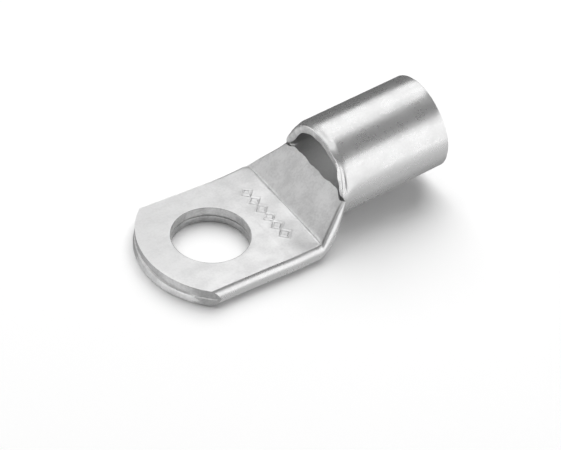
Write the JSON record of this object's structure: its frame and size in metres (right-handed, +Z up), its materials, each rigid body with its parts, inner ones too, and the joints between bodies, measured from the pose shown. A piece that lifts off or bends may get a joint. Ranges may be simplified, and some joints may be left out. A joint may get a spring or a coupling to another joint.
{
  "type": "cable lug",
  "caption": "One-piece tubular cable lug: round crimp barrel, sheared shoulder with an inspection window and a flat palm with a stud hole.",
  "frame": {"origin": "centre of the stud hole on the underside of the palm", "axes": "+X from the palm's rounded tip towards the barrel's mouth, +Z up through the stud hole, +Y across the palm"},
  "size_m": [0.0684, 0.0308, 0.0238],
  "materials": {
    "lug_metal": "bright satin metal, lightly mottled"
  },
  "bodies": {
    "root": {"lug_body": "lug_metal"}
  },
  "joints": []
}
